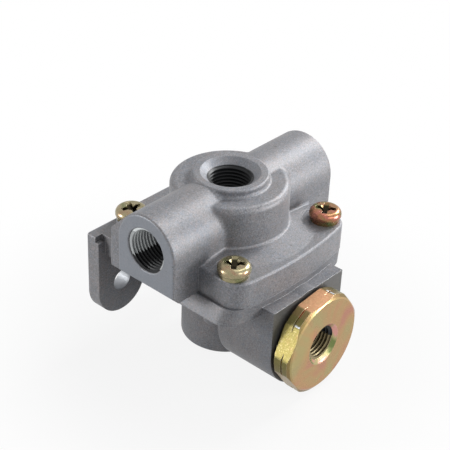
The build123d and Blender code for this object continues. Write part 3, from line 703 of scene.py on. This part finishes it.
def world_light(scene):
    """White where it is seen, and a dimmer even light on the object."""
    world = bpy.data.worlds.new("studio")
    scene.world = world
    world.use_nodes = True
    graph = Graph(world.node_tree)
    strength = {"Value": seen_directly(graph), "To Min": WORLD_GLOW, "To Max": 1.0}
    strength = graph.node("ShaderNodeMapRange", {}, strength)
    background = graph.tree.nodes["Background"]
    background.inputs["Color"].default_value = (*WHITE, 1.0)
    graph.tree.links.new(strength.socket, background.inputs["Strength"])


def floor():
    """Pale floor that keeps the object's shadow, turns white away from it and is clear from below."""
    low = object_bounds()[0]
    mesh = bpy.data.meshes.new("floor")
    level = low.z - FLOOR_GAP
    corners = [(x * FLOOR_HALF, y * FLOOR_HALF, level) for x, y in ((-1, -1), (1, -1), (1, 1), (-1, 1))]
    mesh.from_pydata(corners, [], [(0, 1, 2, 3)])
    piece = bpy.data.objects.new("floor", mesh)
    bpy.context.scene.collection.objects.link(piece)

    shade = Shade("floor_white")
    here = shade.place()
    x, y, z = shade.split(here)
    tone = shade.ramp(shade.noise(here, 400.0), (0.3, FLOOR_TONES[0]), (0.7, FLOOR_TONES[1]))
    surface = shade.node("ShaderNodeBsdfPrincipled", {}, {"Base Color": tone, "Roughness": 0.8})
    glow = shade.node("ShaderNodeEmission", {}, {"Color": WHITE, "Strength": 1.0})
    away = shade.step(distance(x, y - FLOOR_MIDDLE_Y), *FLOOR_FADE)
    white = seen_directly(shade) * (FLOOR_WHITENESS + away * (1 - FLOOR_WHITENESS))
    upper = shade.node("ShaderNodeMixShader", {}, {0: white, 1: surface, 2: glow})
    under = shade.node("ShaderNodeNewGeometry", output="Backfacing")
    clear = shade.node("ShaderNodeBsdfTransparent")
    shade.output(shade.node("ShaderNodeMixShader", {}, {0: under, 1: upper, 2: clear}))
    mesh.materials.append(shade.material)
    piece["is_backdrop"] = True


def lamp(name, offset, power):
    """Square soft light that looks at the object."""
    light = bpy.data.lights.new(name, "AREA")
    light.shape = "SQUARE"
    light.size = LAMP_SIZE
    light.energy = power
    holder = bpy.data.objects.new(name, light)
    bpy.context.scene.collection.objects.link(holder)
    holder.location = LAMP_TARGET + offset
    holder.rotation_euler = (-offset).to_track_quat("-Z", "Y").to_euler()


def camera(scene):
    """Camera at the photograph's viewing angle."""
    data = bpy.data.cameras.new("camera")
    data.sensor_width = SENSOR
    data.lens = FOCAL_PIXELS / PIXELS * SENSOR
    data.clip_start = CLIP_NEAR
    data.clip_end = CLIP_FAR
    holder = bpy.data.objects.new("camera", data)
    scene.collection.objects.link(holder)
    matrix = Matrix((CAMERA_RIGHT, CAMERA_UP, CAMERA_BACK)).transposed().to_4x4()
    matrix.translation = CAMERA_PLACE
    holder.matrix_world = matrix
    scene.camera = holder


# Add-on


class ValveSizes(bpy.types.PropertyGroup):
    """Sizes and colours of the finishes and threads."""

    edge_softness: bpy.props.FloatProperty(
        name="Edge softness",
        description="Radius of the rounding seen on cast edges",
        default=0.0004,
        unit="LENGTH",
    )
    grain_depth: bpy.props.FloatProperty(
        name="Grain depth",
        description="Height of the blasted grain on the castings",
        default=0.00008,
        unit="LENGTH",
    )
    casting_metal: bpy.props.FloatProperty(
        name="Casting metal",
        description="How metallic the castings look",
        default=0.3,
        subtype="FACTOR",
    )
    casting_cool: bpy.props.FloatVectorProperty(
        name="Cool casting",
        description="Bluish tone of the castings",
        default=(0.175, 0.185, 0.207),
        subtype="COLOR",
    )
    casting_middle: bpy.props.FloatVectorProperty(
        name="Middle casting",
        description="Middle tone of the castings",
        default=(0.21, 0.211, 0.222),
        subtype="COLOR",
    )
    casting_warm: bpy.props.FloatVectorProperty(
        name="Warm casting",
        description="Warm tone of the castings",
        default=(0.225, 0.212, 0.215),
        subtype="COLOR",
    )
    machined_colour: bpy.props.FloatVectorProperty(
        name="Machined faces",
        description="Tone of the machined faces",
        default=(0.23, 0.25, 0.285),
        subtype="COLOR",
    )
    # Its dark tone is partly painted shade of the cap nut
    seat_colour_and_shade: bpy.props.FloatVectorProperty(
        name="Nut's seat",
        description="Tone of the face behind the cap nut",
        default=(0.08, 0.078, 0.07),
        subtype="COLOR",
    )
    nut_face: bpy.props.FloatVectorProperty(
        name="Nut face",
        description="Tan gold of the nut's face",
        default=(0.44, 0.262, 0.118),
        subtype="COLOR",
    )
    # The flats' tones are painted light and shade: the upper and left flats lit, the others shaded
    nut_upper_flat_lit: bpy.props.FloatVectorProperty(
        name="Nut's upper flat",
        description="Satin orange of the upper flat",
        default=(0.62, 0.33, 0.18),
        subtype="COLOR",
    )
    nut_left_flat_lit: bpy.props.FloatVectorProperty(
        name="Nut's left flat",
        description="Bright yellow of the left flat",
        default=(0.34, 0.285, 0.09),
        subtype="COLOR",
    )
    nut_shaded_flats: bpy.props.FloatVectorProperty(
        name="Nut's other flats",
        description="Brown of the other flats",
        default=(0.28, 0.2, 0.09),
        subtype="COLOR",
    )
    thread_depth: bpy.props.FloatProperty(
        name="Thread depth",
        description="Height of a thread ridge",
        default=0.001,
        unit="LENGTH",
    )
    thread_pitch: bpy.props.FloatProperty(
        name="Thread pitch",
        description="Distance between thread ridges",
        default=0.001411,
        unit="LENGTH",
    )
    thread_taper: bpy.props.FloatProperty(
        name="Thread taper",
        description="Loss of radius along the thread",
        default=0.03125,
    )


class VALVE_OT_castings(bpy.types.Operator):
    """Gives both castings their blasted grey finish"""

    bl_idname = "valve.castings"
    bl_label = "Castings"

    def execute(self, context):
        given = context.scene.valve_sizes
        for node, name, machined, bore_shade_mask, colour, tone_and_flange_shade in (
            ("upper_body", "upper_casting", upper_machined, upper_bore_shade, given.machined_colour, 0.0),
            # the lower casting's darkening is painted shade under the flange and a darker tone of its own
            ("lower_body", "lower_casting", lower_machined, lower_bore_shade, given.seat_colour_and_shade, 0.22),
        ):
            dress(node, casting_finish(name, given, machined, bore_shade_mask, colour, tone_and_flange_shade))
        return {"FINISHED"}


class VALVE_OT_threads(bpy.types.Operator):
    """Cuts the pipe threads of the four ports"""

    bl_idname = "valve.threads"
    bl_label = "Pipe threads"

    def execute(self, context):
        given = context.scene.valve_sizes
        recipe = thread_recipe()
        bare = thread_finish("thread_metal", BARE_METAL)
        plated = thread_finish("thread_zinc", PLATED_METAL)
        for mount, slot, start, finish in (
            ("delivery_port_near", "upper_casting", SUNK_START, bare),
            ("delivery_port_far", "upper_casting", SUNK_START, bare),
            ("supply_port", "upper_casting", 0.0, bare),
            ("balance_port", "nut_zinc", 0.0, plated),
        ):
            port = MOUNTS[mount]
            radius = port["dims"]["r_mm"] * MM
            length = port["dims"]["length_mm"] * MM
            outwards = Vector(port["axis"])
            mouth = mount_place(mount) + outwards * (length / 2 - start)
            inwards = (-outwards).to_track_quat("Z", "Y").to_matrix().to_4x4()
            values = {
                "Root Radius": radius - ROOT_GAP,
                "Wall Radius": radius - WALL_GAP,
                "Ridge Depth": given.thread_depth,
                "Pitch": given.thread_pitch,
                "Length": length - start - END_GAP,
                "Taper": given.thread_taper,
                "Rows": int(ROWS_PER_TURN * (length / given.thread_pitch + SPARE_TURNS)),
                "Rows Per Turn": float(ROWS_PER_TURN),
                "Steps Around": STEPS_AROUND,
                "Finish": finish,
            }
            place = Matrix.Translation(mouth) @ inwards
            grow("thread_" + mount, recipe, values, place, "housing")
        return {"FINISHED"}


class VALVE_OT_cap_nut(bpy.types.Operator):
    """Gives the cap nut its yellow zinc"""

    bl_idname = "valve.cap_nut"
    bl_label = "Cap nut"

    def execute(self, context):
        dress("cap_nut", nut_finish(context.scene.valve_sizes))
        return {"FINISHED"}


class VALVE_OT_screws(bpy.types.Operator):
    """Gives the screws and lock washers their yellow zinc"""

    bl_idname = "valve.screws"
    bl_label = "Screws and washers"

    def execute(self, context):
        for number, tones in SCREW_TONES.items():
            low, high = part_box(f"cover_screw_{number}")
            centre = (low + high) / 2
            recess = high.z - centre.z - RECESS_BELOW
            dress(f"cover_screw_{number}", zinc_finish(f"screw_zinc_{number}", centre, tones, recess))
            dress(f"lock_washer_{number}", zinc_finish(f"washer_zinc_{number}", centre, tones))
        return {"FINISHED"}


class VALVE_OT_inner(bpy.types.Operator):
    """Gives the inner pieces their finishes"""

    bl_idname = "valve.inner"
    bl_label = "Inner pieces"

    def execute(self, context):
        for *look, nodes in INNER_FINISHES:
            material = plain_finish(*look)
            for node in nodes:
                dress(node, material)
        return {"FINISHED"}


class VALVE_OT_spring(bpy.types.Operator):
    """Puts a copy of the diaphragm's spring in place of the CAD spring, which it hides"""

    bl_idname = "valve.spring"
    bl_label = "Spring"

    def execute(self, context):
        coil = bpy.data.objects.new("diaphragm_coil", frame["nodes"]["diaphragm_spring"].data.copy())
        context.scene.collection.objects.link(coil)
        low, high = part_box("diaphragm_spring")
        foot, top = (low + high) / 2, (low + high) / 2
        foot.z = low.z + SPRING_END
        top.z = high.z - SPRING_END
        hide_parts("diaphragm_spring")
        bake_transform(coil)
        return {"FINISHED"}


class VALVE_OT_stage(bpy.types.Operator):
    """Sets the floor, the soft lights and the camera"""

    bl_idname = "valve.stage"
    bl_label = "Stage"

    def execute(self, context):
        scene = context.scene
        scene.view_settings.view_transform = "Standard"
        world_light(scene)
        floor()
        for name, sideways, forwards, height, power in LAMPS:
            level = (RIGHTWARDS * sideways + FORWARDS * forwards).normalized()
            offset = level * math.sqrt(1 - height * height)
            offset.z = height
            lamp(name, offset * LAMP_DISTANCE, power)
        camera(scene)
        return {"FINISHED"}


OPERATORS = (
    VALVE_OT_castings,
    VALVE_OT_threads,
    VALVE_OT_cap_nut,
    VALVE_OT_screws,
    VALVE_OT_inner,
    VALVE_OT_spring,
    VALVE_OT_stage,
)


class VALVE_PT_panel(bpy.types.Panel):
    """Sidebar panel with the pieces and their sizes"""

    bl_label = "Quick exhaust valve"
    bl_idname = "VALVE_PT_panel"
    bl_space_type = "VIEW_3D"
    bl_region_type = "UI"
    bl_category = "Valve"

    def draw(self, context):
        for name in ValveSizes.__annotations__:
            self.layout.prop(context.scene.valve_sizes, name)
        for operator in OPERATORS:
            self.layout.operator(operator.bl_idname)


def register():
    bpy.utils.register_class(ValveSizes)
    bpy.types.Scene.valve_sizes = bpy.props.PointerProperty(type=ValveSizes)
    for operator in OPERATORS:
        bpy.utils.register_class(operator)
    bpy.utils.register_class(VALVE_PT_panel)


def unregister():
    bpy.utils.unregister_class(VALVE_PT_panel)
    for operator in reversed(OPERATORS):
        bpy.utils.unregister_class(operator)
    del bpy.types.Scene.valve_sizes
    bpy.utils.unregister_class(ValveSizes)


def main():
    register()
    bpy.ops.valve.castings()
    bpy.ops.valve.threads()
    bpy.ops.valve.cap_nut()
    bpy.ops.valve.screws()
    bpy.ops.valve.inner()
    bpy.ops.valve.spring()
    bpy.ops.valve.stage()


if __name__ == "__main__":
    main()
